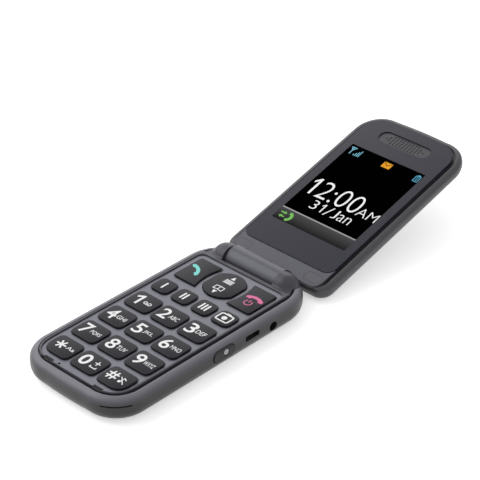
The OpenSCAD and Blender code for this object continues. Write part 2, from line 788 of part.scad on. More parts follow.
// A key cap with its lip; its children draw the cap's outline, its upper outline and the lip's outline
module key_cap(h) {
    translate([0, 0, lip_z]) linear_extrude(lip_t) children(2);
    hull() {
        translate([0, 0, lip_z]) linear_extrude(h - key_edge) children(0);
        translate([0, 0, lip_z]) linear_extrude(h) children(1);
    }
}

module digit_key(i) {
    col = i % 3;
    row = floor(i / 3);
    color([0.26, 0.26, 0.29]) at_digit(i) key_cap(key_top - lip_z) {
        digit_outline(col, row, 0);
        digit_outline(col, row, -key_edge);
        digit_outline(col, row, key_gap + key_lip);
    }
}

module quick_key(i) {
    lip = key_gap + key_lip;
    color([0.26, 0.26, 0.29]) at_quick(i) key_cap(key_top - lip_z) {
        pad(quick_w, quick_d, quick_r);
        pad(quick_w - 2 * key_edge, quick_d - 2 * key_edge, quick_r - key_edge);
        pad(quick_w + 2 * lip, quick_d + 2 * lip, quick_r + lip);
    }
}

// Round up and down key that rocks on a rib under its middle
module nav_key() {
    lip = nav_r + key_gap + key_lip;
    rib_r = key_travel + slip / 2;
    rib_l = 6;
    color([0.26, 0.26, 0.29]) translate([0, hinge_y - nav_y, lip_z]) {
        rotate_extrude() {
            square([lip, lip_t - key_travel]);
            square([nav_r - key_gap / 2, key_top - lip_z - key_edge]);
            square([nav_r - key_gap / 2 - key_edge, key_top - lip_z]);
            translate([nav_r - key_gap / 2 - key_edge, key_top - lip_z - key_edge]) circle(key_edge);
        }
        rotate([0, 90, 0]) cylinder(r = rib_r, h = rib_l, center = true);
    }
}

// Key to the right of the navigation key
module end_key() {
    steps = 3;
    color([0.26, 0.26, 0.29]) translate([0, 0, lip_z]) {
        linear_extrude(lip_t) end_outline(key_gap + key_lip);
        for (i = [1:steps])
            linear_extrude(key_top - lip_z - key_edge * (1 - sin(90 * i / steps)))
                end_outline(-key_edge * (1 - cos(90 * i / steps)));
    }
}

module call_key() {
    mirror([1, 0, 0]) end_key();
}

// Body of a key in the right wall: it follows the wall's shape and has a lip inside
module wall_key(y, z, l, h, lip_in) {
    translate([base_w / 2, hinge_y - y, 0]) {
        intersection() {
            translate([-wall, 0, z]) rotate([90, 0, 90]) linear_extrude(wall + 1) pad(l, h, h / 2 - eps);
            rotate([90, 0, 0]) linear_extrude(l + 1, center = true) side_shape(side_proud);
        }
        translate([-lip_in - lip_d, -l / 2 - key_lip, z - h / 2 + key_lip])
            cube([lip_d, l + 2 * key_lip, h / 2]);
        translate([-lip_in - eps, -l / 4, z - h / 2 + key_lip]) cube([lip_in - wall + 2 * eps, l / 2, h / 2]);
    }
}

module side_key() {
    color([0.4, 0.4, 0.42]) wall_key(side_y, side_z, side_l, side_h, wall + slip);
}

// Rocker in the left wall that tips on an upright rib
module volume_key() {
    lip_in = wall + key_travel;
    color([0.4, 0.4, 0.42]) mirror([1, 0, 0]) {
        wall_key(volume_y, volume_z, volume_l, volume_h, lip_in);
        translate([base_w / 2 - lip_in - rock_r, hinge_y - volume_y, volume_z - volume_h / 2 + key_lip])
            cylinder(r = rock_r, h = volume_h / 2);
    }
}

// Sheet metal shell of the charging socket with its tongue
module usb_socket() {
    tongue_l = 3.4;
    tongue_w = 3.8;
    tongue_t = 0.6;
    back_t = 0.8;
    color([0.7, 0.7, 0.72]) translate([jack_x1, hinge_y - usb_y, usb_z]) {
        difference() {
            translate([-usb_l, 0, 0]) rotate([90, 0, 90]) linear_extrude(usb_l) pad(usb_w, usb_h, 3 * usb_t);
            translate([back_t - usb_l, 0, 0]) rotate([90, 0, 90])
                linear_extrude(usb_l) pad(usb_w - 2 * usb_t, usb_h - 2 * usb_t, 2 * usb_t);
        }
        translate([-usb_l + eps, -tongue_w / 2, 0]) cube([tongue_l, tongue_w, tongue_t]);
    }
}

// Block with the bore for a headphone plug
module headphone_jack() {
    block_h = 2 * (jack_r + jack_wall);
    color([0.08, 0.08, 0.08]) translate([jack_x1, hinge_y - jack_y, jack_z]) difference() {
        translate([-jack_l, -jack_w / 2, -block_h / 2]) cube([jack_l, jack_w, block_h]);
        translate([1 - jack_l, 0, 0]) rotate([0, 90, 0]) cylinder(r = jack_r, h = jack_l);
    }
}

module loudspeaker() {
    corner = 2;
    color([0.12, 0.12, 0.12]) translate([speaker_x, hinge_y - speaker_y, floor_z - speaker_t])
        linear_extrude(speaker_t) pad(speaker_l, speaker_w, corner);
}

module microphone() {
    color([0.7, 0.65, 0.5]) translate([mic_place[0], mic_place[1], board_z + board_t])
        cylinder(r = mic_r, h = face_z - board_z - board_t - slip);
}

module vibration_motor() {
    color([0.7, 0.7, 0.72]) translate([motor_x, hinge_y - speaker_y, floor_z - motor_t])
        cylinder(r = motor_r, h = motor_t);
}

module sim_reader() {
    sim_w = 17;
    sim_l = 6;
    sim_t = 1.2;
    color([0.75, 0.75, 0.77]) translate([-sim_w, battery_y + battery_l + rib_gap + rib_t + slip, floor_z - sim_t])
        cube([sim_w, sim_l, sim_t]);
}

// A screw pointing up, its head's seat at the given height
module screw(z, top) {
    translate([0, 0, z - head_t]) cylinder(r = head_r, h = head_t);
    translate([0, 0, z - eps]) cylinder(r = screw_r, h = top - z);
}

module base_screws() {
    color([0.6, 0.6, 0.62]) both_sides() {
        translate([chin_screw[0], chin_screw[1], 0]) screw(floor_z, face_z);
        translate([ear_screw[0], ear_screw[1], 0]) screw(cover_h, hinge_z);
    }
}

// Hollow bush of the left ear, running in the barrel
module hinge_bush() {
    reach = 8.4;
    color([0.6, 0.6, 0.62]) on_hinge() translate([0, 0, -ear_bore_x]) difference() {
        cylinder(r = bush_r, h = ear_bore_x - reach);
        translate([0, 0, -1]) cylinder(r = bush_hole_r, h = ear_bore_x);
    }
}

// Section of the lid frame's wall
module frame_section() {
    difference() {
        intersection() {
            union() {
                translate([-lid_rim_r, -lid_rim - lid_rim_r]) circle(lid_rim_r);
                translate([-lid_rim_w, lid_split]) square([lid_rim_w, -lid_rim - lid_rim_r - lid_split]);
                translate([-lid_rim_w, lid_split]) square([lid_rim_w - lid_rim_r, -lid_rim - lid_split]);
            }
            translate([-lid_rim_w, lid_split]) square([lid_rim_w, -lid_rim - lid_split]);
        }
        translate([-lid_rim_w - 1, lid_split - 1])
            square([lid_rim_w + 1 - lid_wall, frame_n - lid_split + 1]);
    }
}

// Section of the outer cover's turned-up edge
module lid_cover_section() {
    difference() {
        intersection() {
            translate([-lid_edge_r, lid_split]) circle(lid_edge_r);
            translate([-lid_edge_r, -lid_back]) square([lid_edge_r, lid_edge_r]);
        }
        translate([-lid_edge_r, lid_split]) circle(lid_edge_r - lid_cover_t);
    }
    translate([-lid_edge_r - seam, -lid_back]) square([seam + eps, lid_cover_t]);
}

// Outline of the lens, set in from its edge
module lens_plan(inset) {
    x = panel_w / 2 - lens_r;
    y = lens_y + lens_r;
    intersection() {
        plan(panel_plan, inset);
        union() {
            translate([-panel_w, y]) square([2 * panel_w, lid_reach]);
            translate([-x, lens_y + inset]) square([2 * x, lid_reach]);
            for (s = [-1, 1]) translate([s * x, y]) circle(lens_r - inset);
        }
    }
}

module at_caps() {
    for (s = [-1, 1]) translate([s * cap_x, cap_y]) children();
}

// Display side of the lid with its side rim, groove, band and hinge barrel
module lid_frame() {
    barrel_l = 2 * (ear_x - barrel_end_gap);
    web_y = lid_heel + 2;
    bush_reach = 8.3;
    slot_l = 10;
    slot_w = 3;
    color([0.4, 0.4, 0.44]) in_lid() difference() {
        union() {
            around(lid_plan) frame_section();
            translate([0, 0, frame_n]) linear_extrude(lid_floor_t) plan(lid_plan, lid_wall - slip);
            translate([0, 0, -lid_groove - eps]) linear_extrude(lid_groove - band_n + eps) plan(panel_plan, 0);
            translate([-barrel_l / 2, 0, 0]) rotate([90, 0, 90]) linear_extrude(barrel_l) {
                circle(barrel_r);
                polygon([[0, -barrel_r], [web_y, frame_n], [web_y, -band_n], [0, -band_n]]);
            }
        }
        translate([0, 0, seat_n]) linear_extrude(lid_groove) lens_plan(-lid_gap);
        translate([0, display_y, frame_n - 1]) linear_extrude(lid_groove)
            square([display_w + 2 * lid_gap, display_l + 2 * lid_gap], center = true);
        translate([0, ear_piece_y, frame_n - 1]) linear_extrude(lid_groove) pad(slot_l, slot_w, 1);
        at_caps() {
            translate([0, 0, cap_screw_n]) linear_extrude(lid_groove)
                pad(cap_l + 2 * lid_gap, cap_w + 2 * lid_gap, cap_r + lid_gap);
            translate([0, 0, cap_screw_n - head_t]) cylinder(r = head_r + lid_gap, h = head_t + 1);
            translate([0, 0, -lid_back]) cylinder(r = screw_r + screw_gap, h = lid_back);
        }
        rotate([0, 90, 0]) {
            translate([0, 0, -bush_reach]) cylinder(r = cartridge_r, h = bush_reach + barrel_l);
            translate([0, 0, -barrel_l]) cylinder(r = bush_r + run_gap, h = barrel_l);
        }
    }
}

// Clear panel over the display, with its edge rounded in steps
module lens_panel() {
    steps = 3;
    color([0.2, 0.2, 0.23]) in_lid() translate([0, 0, seat_n]) difference() {
        for (i = [1:steps])
            linear_extrude(lens_t - lens_edge * (1 - sin(90 * i / steps)))
                lens_plan(lens_edge * (1 - cos(90 * i / steps)));
        translate([0, ear_piece_y, -1]) linear_extrude(lens_t + 2)
            pad(ear_piece_l, ear_piece_w, ear_piece_w / 2 - eps);
    }
}

module display_module() {
    color([0.03, 0.03, 0.04]) in_lid() translate([0, display_y, 0]) {
        translate([0, 0, frame_n - display_t]) linear_extrude(display_t)
            square([display_w + 2 * display_border, display_l + 2 * display_border], center = true);
        translate([0, 0, frame_n - eps]) linear_extrude(seat_n - frame_n)
            square([display_w, display_l], center = true);
    }
}

// Perforated plate at the bottom of the earpiece opening
module earpiece_grille() {
    rows = 2;
    gap = 0.05;
    color([0.15, 0.15, 0.16]) in_lid() translate([0, ear_piece_y, seat_n]) linear_extrude(grille_t) difference() {
        pad(ear_piece_l - 2 * gap, ear_piece_w - 2 * gap, ear_piece_w / 2 - gap - eps);
        for (j = [-rows:rows], i = [abs(j) - 6:6 - abs(j)])
            translate([i * grille_dx, j * grille_dy]) circle(grille_r);
    }
}

module earpiece_receiver() {
    receiver_l = 13;
    receiver_w = 7;
    corner = 2;
    color([0.6, 0.6, 0.6]) in_lid() translate([0, ear_piece_y, frame_n - display_t])
        linear_extrude(display_t) pad(receiver_l, receiver_w, corner);
}

module lid_board() {
    border = 0.5;
    color([0.1, 0.35, 0.2]) in_lid() translate([0, display_y, board_n]) linear_extrude(lid_board_t)
        square([display_w + 2 * border, display_l + 2 * border], center = true);
}

module camera_module() {
    barrel = 2.4;
    color([0.08, 0.08, 0.08]) in_lid() translate([0, camera_y, 0]) {
        translate([-camera_w / 2, -camera_w / 2, cover_n + 1]) cube([camera_w, camera_w, frame_n - cover_n - 1]);
        translate([0, 0, cover_n + lid_gap]) cylinder(r = barrel, h = 1);
    }
}

module camera_window() {
    color([0.05, 0.05, 0.07]) in_lid() translate([0, camera_y, -lid_back])
        cylinder(r = camera_r, h = lid_cover_t);
}

// Outer shell of the lid with the screw bosses
module lid_cover() {
    boss_r = 1.6;
    color([0.3, 0.3, 0.32]) in_lid() difference() {
        union() {
            around(lid_plan) lid_cover_section();
            translate([0, 0, -lid_back]) linear_extrude(lid_cover_t) plan(lid_plan, lid_edge_r + seam / 2);
            at_caps() translate([0, 0, cover_n - lid_gap]) cylinder(r = boss_r, h = frame_n - cover_n + lid_gap);
        }
        translate([0, camera_y, -lid_back - 1]) cylinder(r = camera_r + lid_gap / 2, h = lid_cover_t + 2);
        at_caps() translate([0, 0, cover_n]) cylinder(r = screw_r, h = lid_back);
    }
}

// Soft cap over the right lid screw
module screw_cover_right() {
    color([0.36, 0.36, 0.4]) in_lid() translate([cap_x, cap_y, cap_screw_n])
        linear_extrude(cap_t) pad(cap_l, cap_w, cap_r);
}

module screw_cover_left() {
    mirror([1, 0, 0]) screw_cover_right();
}

module lid_screws() {
    color([0.6, 0.6, 0.62]) in_lid() at_caps() {
        translate([0, 0, cap_screw_n - head_t]) cylinder(r = head_r, h = head_t);
        translate([0, 0, cover_n + slip]) cylinder(r = screw_r, h = cap_screw_n - head_t - cover_n);
    }
}

// Spring cartridge in the barrel; its pin turns in the right ear
module hinge_cartridge() {
    inner = 1;
    pin_gap = 0.3;
    color([0.55, 0.55, 0.57]) on_hinge() {
        translate([0, 0, inner]) cylinder(r = cartridge_r, h = ear_x - barrel_end_gap - inner);
        translate([0, 0, inner]) cylinder(r = pin_r, h = ear_bore_x - pin_gap - inner);
    }
}

// Flexible circuit wound in the barrel between the bush and the cartridge
module hinge_flex() {
    film = 0.2;
    wind = 300;
    width = 7;
    color([0.75, 0.5, 0.15]) in_lid() rotate([0, 90, 0]) translate([0, 0, -width])
        rotate_extrude(angle = wind) translate([cartridge_r - film - eps, 0]) square([film, width]);
}

rear_housing();
front_cover();
battery_cover();
battery();
main_board();
dome_switches();
key_mat();
usb_socket();
headphone_jack();
loudspeaker();
microphone();
vibration_motor();
sim_reader();
chin_bumpers();
base_screws();
hinge_bush();
for (i = [0:11]) digit_key(i);
for (i = [0:3]) quick_key(i);
nav_key();
call_key();
end_key();
side_key();
volume_key();
lid_frame();
lens_panel();
display_module();
earpiece_grille();
earpiece_receiver();
lid_board();
camera_module();
camera_window();
lid_cover();
screw_cover_left();
screw_cover_right();
lid_screws();
hinge_cartridge();
hinge_flex();
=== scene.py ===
# A clamshell phone lying open on a table: the keypad half flat, the display half raised.
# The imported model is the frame: X to the phone's right, Y from the chin to the hinge, Z up, in metres.
import math

import bpy
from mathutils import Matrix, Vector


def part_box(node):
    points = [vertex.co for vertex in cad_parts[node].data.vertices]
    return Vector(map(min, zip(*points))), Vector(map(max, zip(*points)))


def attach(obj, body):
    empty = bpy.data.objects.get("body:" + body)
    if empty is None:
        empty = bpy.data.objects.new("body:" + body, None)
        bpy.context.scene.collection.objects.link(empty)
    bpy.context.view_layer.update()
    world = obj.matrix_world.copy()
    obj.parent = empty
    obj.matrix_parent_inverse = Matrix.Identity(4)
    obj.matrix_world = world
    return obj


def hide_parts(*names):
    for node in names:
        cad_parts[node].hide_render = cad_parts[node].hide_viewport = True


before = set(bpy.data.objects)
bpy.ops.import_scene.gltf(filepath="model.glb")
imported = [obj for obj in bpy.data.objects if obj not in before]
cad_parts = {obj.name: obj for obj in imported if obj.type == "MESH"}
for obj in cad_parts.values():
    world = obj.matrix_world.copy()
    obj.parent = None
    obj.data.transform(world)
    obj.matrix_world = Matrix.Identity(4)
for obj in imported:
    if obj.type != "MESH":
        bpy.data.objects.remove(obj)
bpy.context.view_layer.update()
bpy.context.scene.view_settings.view_transform = "Standard"

# The view: a long lens above the phone's right front corner, far enough away that
# the two halves keep their proportions.
bpy.ops.object.select_all(action="DESELECT")
bpy.ops.object.camera_add(location=(0.38852, -0.36911, 0.3773))
eye = bpy.context.object
eye.rotation_euler = (math.radians(57.94996), math.radians(0.29934), math.radians(43.61466))
eye.data.lens = 136.904
eye.data.sensor_width = 36
bpy.context.scene.camera = eye

# The table: a white sheet of card that runs out past the picture, with a faint tooth, under a
# plain bright room; a wide soft box hangs in front on the left, and a weak panel stands behind.
def plain_sight(net):
    """Marks the rays that see the plain white: from the eye, off gloss, and through glass."""
    ray = net.nodes.new("ShaderNodeLightPath")
    clear = net.nodes.new("ShaderNodeMath")
    clear.operation = "MAXIMUM"
    plain = net.nodes.new("ShaderNodeMath")
    plain.operation = "MAXIMUM"
    net.links.new(ray.outputs["Is Glossy Ray"], clear.inputs[0])
    net.links.new(ray.outputs["Is Transmission Ray"], clear.inputs[1])
    net.links.new(ray.outputs["Is Camera Ray"], plain.inputs[0])
    net.links.new(clear.outputs["Value"], plain.inputs[1])
    return plain.outputs["Value"]


bpy.ops.object.select_all(action="DESELECT")
bpy.ops.mesh.primitive_plane_add(size=5)
card = bpy.context.object
card.name = "card"
card_white = bpy.data.materials.new("card_white")
card_white.use_nodes = True
net = card_white.node_tree
net.nodes.clear()
sheet_out = net.nodes.new("ShaderNodeOutputMaterial")
paper = net.nodes.new("ShaderNodeBsdfDiffuse")
glow = net.nodes.new("ShaderNodeEmission")
both = net.nodes.new("ShaderNodeAddShader")
seen = net.nodes.new("ShaderNodeMath")
seen.operation = "MULTIPLY"
seen.inputs[1].default_value = 0.5
tooth = net.nodes.new("ShaderNodeTexNoise")
tooth.inputs["Scale"].default_value = 900
tone = net.nodes.new("ShaderNodeMapRange")
tone.inputs["To Min"].default_value = 0.92
tone.inputs["To Max"].default_value = 0.95
at = net.nodes.new("ShaderNodeTexCoord")
net.links.new(at.outputs["Object"], tooth.inputs["Vector"])
net.links.new(tooth.outputs["Fac"], tone.inputs["Value"])
net.links.new(tone.outputs["Result"], paper.inputs["Color"])
net.links.new(plain_sight(net), seen.inputs[0])
net.links.new(seen.outputs["Value"], glow.inputs["Strength"])
net.links.new(paper.outputs["BSDF"], both.inputs[0])
net.links.new(glow.outputs["Emission"], both.inputs[1])
net.links.new(both.outputs["Shader"], sheet_out.inputs["Surface"])
card.data.materials.append(card_white)

room = bpy.data.worlds.new("room")
bpy.context.scene.world = room
room.use_nodes = True
net = room.node_tree
net.nodes.clear()
room_out = net.nodes.new("ShaderNodeOutputWorld")
air = net.nodes.new("ShaderNodeBackground")
level = net.nodes.new("ShaderNodeMapRange")
level.inputs["To Min"].default_value = 0.78
level.inputs["To Max"].default_value = 1
net.links.new(plain_sight(net), level.inputs["Value"])
net.links.new(level.outputs["Result"], air.inputs["Strength"])
net.links.new(air.outputs["Background"], room_out.inputs["Surface"])

bpy.ops.object.select_all(action="DESELECT")
bpy.ops.object.light_add(type="AREA", location=(-0.75, -0.35, 0.85))
soft_box = bpy.context.object
soft_box.data.shape = "RECTANGLE"
soft_box.data.size = 1.0
soft_box.data.size_y = 1.0
soft_box.data.energy = 6
soft_box.rotation_euler = (0, math.radians(-44.6), math.radians(25))
bpy.ops.object.select_all(action="DESELECT")
bpy.ops.object.light_add(type="AREA", location=(-0.59, 0.52, 0.46))
panel = bpy.context.object
panel.data.shape = "RECTANGLE"
panel.data.size = 0.55
panel.data.size_y = 1.0
panel.data.energy = 2
panel.rotation_euler = (0, math.radians(-59), math.radians(-40))

# The base's side wall and the battery cover: dark grey housing with the fine spark-eroded grain
# of its tool; the wall's crown is a lighter lilac-grey, a painted highlight of the light that falls
# on its top, fading out down the side. The cover snaps onto the wall along the parting line.
def moulded(name, colour, roughness, shine, grain, relief, cloud):
    """Moulded or painted plastic: its colour drifts a little, its grain breaks up the gloss."""
    finish = bpy.data.materials.new(name)
    finish.use_nodes = True
    net = finish.node_tree
    skin = net.nodes["Principled BSDF"]
    skin.inputs["Specular IOR Level"].default_value = shine
    at = net.nodes.new("ShaderNodeTexCoord")
    fine = net.nodes.new("ShaderNodeTexNoise")
    fine.inputs["Scale"].default_value = 1 / grain
    fine.inputs["Detail"].default_value = 3
    wide = net.nodes.new("ShaderNodeTexNoise")
    wide.inputs["Scale"].default_value = 45
    mixed = net.nodes.new("ShaderNodeMix")
    mixed.data_type = "FLOAT"
    mixed.inputs["Factor"].default_value = 0.5
    shade = net.nodes.new("ShaderNodeValToRGB")
    shade.name = "shade"
    shade.color_ramp.elements[0].position = 0.3
    shade.color_ramp.elements[1].position = 0.7
    shade.color_ramp.elements[0].color = [c * (1 - cloud) for c in colour] + [1]
    shade.color_ramp.elements[1].color = [c * (1 + cloud) for c in colour] + [1]
    gloss = net.nodes.new("ShaderNodeMapRange")
    gloss.inputs["From Min"].default_value = 0.3
    gloss.inputs["From Max"].default_value = 0.7
    gloss.inputs["To Min"].default_value = roughness - 0.04
    gloss.inputs["To Max"].default_value = roughness + 0.04
    bump = net.nodes.new("ShaderNodeBump")
    bump.inputs["Strength"].default_value = relief
    bump.inputs["Distance"].default_value = grain / 4
    net.links.new(at.outputs["Object"], fine.inputs["Vector"])
    net.links.new(at.outputs["Object"], wide.inputs["Vector"])
    net.links.new(fine.outputs["Fac"], mixed.inputs["A"])
    net.links.new(wide.outputs["Fac"], mixed.inputs["B"])
    net.links.new(mixed.outputs["Result"], shade.inputs["Fac"])
    net.links.new(shade.outputs["Color"], skin.inputs["Base Color"])
    net.links.new(fine.outputs["Fac"], gloss.inputs["Value"])
    net.links.new(gloss.outputs["Result"], skin.inputs["Roughness"])
    net.links.new(fine.outputs["Fac"], bump.inputs["Height"])
    net.links.new(bump.outputs["Normal"], skin.inputs["Normal"])
    return finish


def dress(finish, *nodes):
    """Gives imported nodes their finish."""
    for node in nodes:
        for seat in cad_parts[node].material_slots:
            seat.material = finish


housing_grey = moulded("housing_grey", (0.02, 0.02, 0.022), 0.36, 0.36, 0.0003, 0.15, 0.05)
housing_grey.node_tree.nodes["Principled BSDF"].inputs["Coat Weight"].default_value = 0.12
housing_grey.node_tree.nodes["Principled BSDF"].inputs["Coat Roughness"].default_value = 0.3
dress(housing_grey, "battery_cover")
wall_grey_crown_highlight = housing_grey.copy()
wall_grey_crown_highlight.name = "wall_grey_crown_highlight"
net = wall_grey_crown_highlight.node_tree
at = net.nodes.new("ShaderNodeTexCoord")
split = net.nodes.new("ShaderNodeSeparateXYZ")
# The painted highlight fades in from 7.2 mm up to 9.8 mm on the wall.
crown = net.nodes.new("ShaderNodeMapRange")
crown.inputs["From Min"].default_value = 0.0072
crown.inputs["From Max"].default_value = 0.0098
tint = net.nodes.new("ShaderNodeMix")
tint.data_type = "RGBA"
# painted highlight: the crown's lilac-grey, much lighter than the wall's own grey
tint.inputs["B"].default_value = (0.16, 0.16, 0.185, 1)
net.links.new(at.outputs["Object"], split.inputs["Vector"])
net.links.new(split.outputs["Z"], crown.inputs["Value"])
net.links.new(crown.outputs["Result"], tint.inputs["Factor"])
net.links.new(net.nodes["shade"].outputs["Color"], tint.inputs["A"])
net.links.new(tint.outputs["Result"], net.nodes["Principled BSDF"].inputs["Base Color"])
dress(wall_grey_crown_highlight, "rear_housing")

# The keypad face with the hinge ears: a moulding screwed down from below, with a raised frame around
# the key field, drawn in the face's lilac darkened to a grey as painted shade. The field is a thin lilac
# sheet with metal flake glued inside the frame; its openings leave a fine gap around each key.
# painted shade: the face's lilac darkened to a grey for the ears and the frame
face_lilac_shaded = moulded("face_lilac_shaded", (0.05, 0.049, 0.061), 0.36, 0.4, 0.0003, 0.15, 0.05)
dress(face_lilac_shaded, "front_cover")


def softened(corners):
    """Outline in millimetres whose corners (x, y, reach) are drawn as curves of that reach."""
    points = []
    for i, (x, y, reach) in enumerate(corners):
        ends = []
        for other in (corners[i - 1], corners[(i + 1) % len(corners)]):
            run = math.hypot(other[0] - x, other[1] - y)
            ends.append((x + reach * (other[0] - x) / run, y + reach * (other[1] - y) / run))
        for k in range(9 if reach else 1):
            t = k / 8
            a, b, c = (1 - t) ** 2, 2 * t * (1 - t), t * t
            points.append((a * ends[0][0] + b * x + c * ends[1][0], a * ends[0][1] + b * y + c * ends[1][1]))
    return points


def pad(x, y, wide, deep, reach, left=None, right=None):
    """Outline of a rounded pad; its two chin corners may have a reach of their own."""
    x0, x1, y0, y1 = x - wide / 2, x + wide / 2, y - deep / 2, y + deep / 2
    return softened([(x0, y0, left or reach), (x1, y0, right or reach), (x1, y1, reach), (x0, y1, reach)])


def nav_outline(grow):
    """Outline of the navigation key: round, with two flat sides."""
    x, y = middle("nav_key")
    radius, half, lower = 8.1 + grow, 7.1 + grow, 0.4
    start = math.acos(half / radius)
    points = []
    for side in (0, 1):
        for i in range(25):
            a = math.pi * side + start + (math.pi - 2 * start) * i / 24
            points.append((x + group_shift + radius * math.cos(a), y - lower + radius * math.sin(a)))
    return points


def call_outline(side, grow):
    """Outline of the call key or the end key: straight outside, hollow along the navigation key."""
    low, high, out = 19.5 - grow, 34.7 + grow, group_shift + side * (19.1 + grow)
    bow, bow_y, nearest = 22, 27.2, 9.2 - grow
    outer_reach, inner_reach = 1.3, 0.9
    inner = []
    for i in range(9):
        y = high + (low - high) * i / 8
        across = nearest - bow + math.sqrt(bow ** 2 - (y - bow_y) ** 2)
        inner.append((group_shift + side * across, y, 0 if 0 < i < 8 else inner_reach))
    return softened([(out, low, outer_reach), (out, high, outer_reach)] + inner)


def digit_outline(digit, grow):
    """Outline of a digit key; the two keys in the corners of the chin are rounder there."""
    x, y = middle("key_" + digit)
    wide, deep, reach, chin_reach = 12.1 + 2 * grow, 10.1 + 2 * grow, 2.4 + grow, 5 + grow
    left = chin_reach if digit == "star" else None
    right = chin_reach if digit == "hash" else None
    return pad(x + 0.35, y - 0.28, wide, deep, reach, left, right)


def small_outline(key, grow):
    """Outline of a memory key or the camera key."""
    x, y = middle(key)
    wide, deep, reach = 8.4 + 2 * grow, 8.1 + 2 * grow, 2.5 + grow
    return pad(x + 0.25, y, wide, deep, reach)


def middle(node):
    """The place of a key's middle on the face, in millimetres."""
    low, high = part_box(node)
    return 500 * (low.x + high.x), 500 * (low.y + high.y)


def block(points, z0, z1):
    """A solid of one outline between two heights, in millimetres."""
    bpy.ops.object.select_all(action="DESELECT")
    bpy.ops.mesh.primitive_circle_add(vertices=len(points), radius=0.001, fill_type="NGON")
    solid = bpy.context.object
    for point, place in zip(solid.data.vertices, points):
        point.co = (place[0] / 1000, place[1] / 1000, z0 / 1000)
    bpy.ops.object.mode_set(mode="EDIT")
    bpy.ops.mesh.select_all(action="SELECT")
    bpy.ops.mesh.extrude_region_move(TRANSFORM_OT_translate={"value": (0, 0, (z1 - z0) / 1000)})
    bpy.ops.mesh.select_all(action="SELECT")
    bpy.ops.mesh.normals_make_consistent(inside=False)
    bpy.ops.object.mode_set(mode="OBJECT")
    return solid


def only(piece):
    """Selects one piece alone."""
    bpy.ops.object.select_all(action="DESELECT")
    bpy.context.view_layer.objects.active = piece
    piece.select_set(True)


def combined(whole, others, operation):
    """Melts other solids into a piece, or cuts them out of it."""
    for other in others:
        only(whole)
        bpy.ops.object.modifier_add(type="BOOLEAN")
        step = whole.modifiers[-1]
        step.operation = operation
        step.object = other
        bpy.ops.object.modifier_apply(modifier=step.name)
        bpy.data.objects.remove(other)
    return whole


def eased(piece, width):
    """Rounds a piece's sharp edges, by a width in millimetres."""
    only(piece)
    bpy.ops.object.modifier_add(type="BEVEL")
    edge = piece.modifiers[-1]
    edge.width = width / 1000
    edge.segments = 3
    edge.limit_method = "ANGLE"
    edge.angle_limit = math.radians(50)
    bpy.ops.object.modifier_apply(modifier=edge.name)
    bpy.ops.object.shade_smooth_by_angle(angle=math.radians(40))
    return piece


digits = ["1", "2", "3", "4", "5", "6", "7", "8", "9", "star", "0", "hash"]
small_keys = ["quick_key_1", "quick_key_2", "quick_key_3", "camera_key"]
face_top = 10
group_shift = 0.7
key_gap = 0.2
frame_height = 0.7
sheet_thick = 0.2
bumper_x = 12.4
through = (face_top - 1, face_top + 2)
field_frame = block(pad(0, -4.2, 43.8, 86.2, 1.2, 10.4, 10.4), face_top, face_top + frame_height)
cuts = [block(pad(0, -4.73, 42, 84.25, 3, 9.9, 9.9), *through)]
for side in (-1, 1):
    cuts.append(block(pad(bumper_x * side, -47, 4.6, 2, 0.3), *through))
combined(field_frame, cuts, "DIFFERENCE")
eased(field_frame, 0.2)
field_frame.name = "field_frame"
# the frame takes the painted shade of the darkened face lilac
field_frame.data.materials.clear()
field_frame.data.materials.append(face_lilac_shaded)
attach(field_frame, "base")

key_sheet = block(pad(0, -4.73, 41.96, 84.2, 3, 9.9, 9.9), face_top, face_top + sheet_thick)
openings = [nav_outline(key_gap), call_outline(-1, key_gap), call_outline(1, key_gap)]
openings += [digit_outline(d, key_gap) for d in digits] + [small_outline(key, key_gap) for key in small_keys]
for side in (-1, 1):
    openings.append(pad(bumper_x * side, -46.5, 4.6, 1.8, 0.3))
microphone_hole = pad(-7.6, -45.9, 1, 1, 0.5)
openings.append(microphone_hole)
cuts = [block(outline, *through) for outline in openings]
combined(key_sheet, cuts, "DIFFERENCE")
key_sheet.name = "key_sheet"
face_paint = moulded("face_paint", (0.145, 0.145, 0.172), 0.38, 0.4, 0.00035, 0.15, 0.06)
face_paint.node_tree.nodes["Principled BSDF"].inputs["Metallic"].default_value = 0.6
key_sheet.data.materials.clear()
key_sheet.data.materials.append(face_paint)
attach(key_sheet, "base")

# The pieces on the board inside: battery in its printed wrap, boards, domes, mat, speaker,
# motor, card reader and screws. They are bought in or etched, and lie closed in.
dress(moulded("battery_wrap", (0.03, 0.032, 0.036), 0.3, 0.5, 0.0012, 0.1, 0.15), "battery")
dress(moulded("solder_mask", (0.012, 0.11, 0.045), 0.32, 0.5, 0.0009, 0.3, 0.35), "main_board", "lid_board")
dress(moulded("mat_silicone", (0.42, 0.42, 0.42), 0.6, 0.4, 0.0008, 0.2, 0.05), "key_mat")
black_mould = moulded("black_mould", (0.012, 0.012, 0.013), 0.38, 0.4, 0.0003, 0.2, 0.2)
dress(black_mould, "headphone_jack", "loudspeaker", "earpiece_receiver", "camera_module")
bright_steel = moulded("bright_steel", (0.55, 0.55, 0.56), 0.28, 0.5, 0.0004, 0.15, 0.06)
bright_steel.node_tree.nodes["Principled BSDF"].inputs["Metallic"].default_value = 1
dress(bright_steel, "usb_socket", "dome_switches", "vibration_motor", "sim_reader", "microphone")
dress(bright_steel, "base_screws", "lid_screws", "hinge_bush", "hinge_cartridge")
dress(moulded("amber_film", (0.42, 0.19, 0.03), 0.3, 0.5, 0.0015, 0.1, 0.12), "hinge_flex")

# The chin bumpers: two black rubber pads pressed into pockets of the face, where the
# closed lid comes to rest.
dress(moulded("bumper_rubber", (0.009, 0.009, 0.01), 0.62, 0.25, 0.0004, 0.15, 0.2), "chin_bumpers")

# The digit keys: dark caps on stems that stand out of the face, each with a white digit and the
# small letters of its group printed on top as a thin film of ink.
key_dark = moulded("key_dark", (0.009, 0.009, 0.014), 0.4, 0.2, 0.0004, 0.15, 0.08)


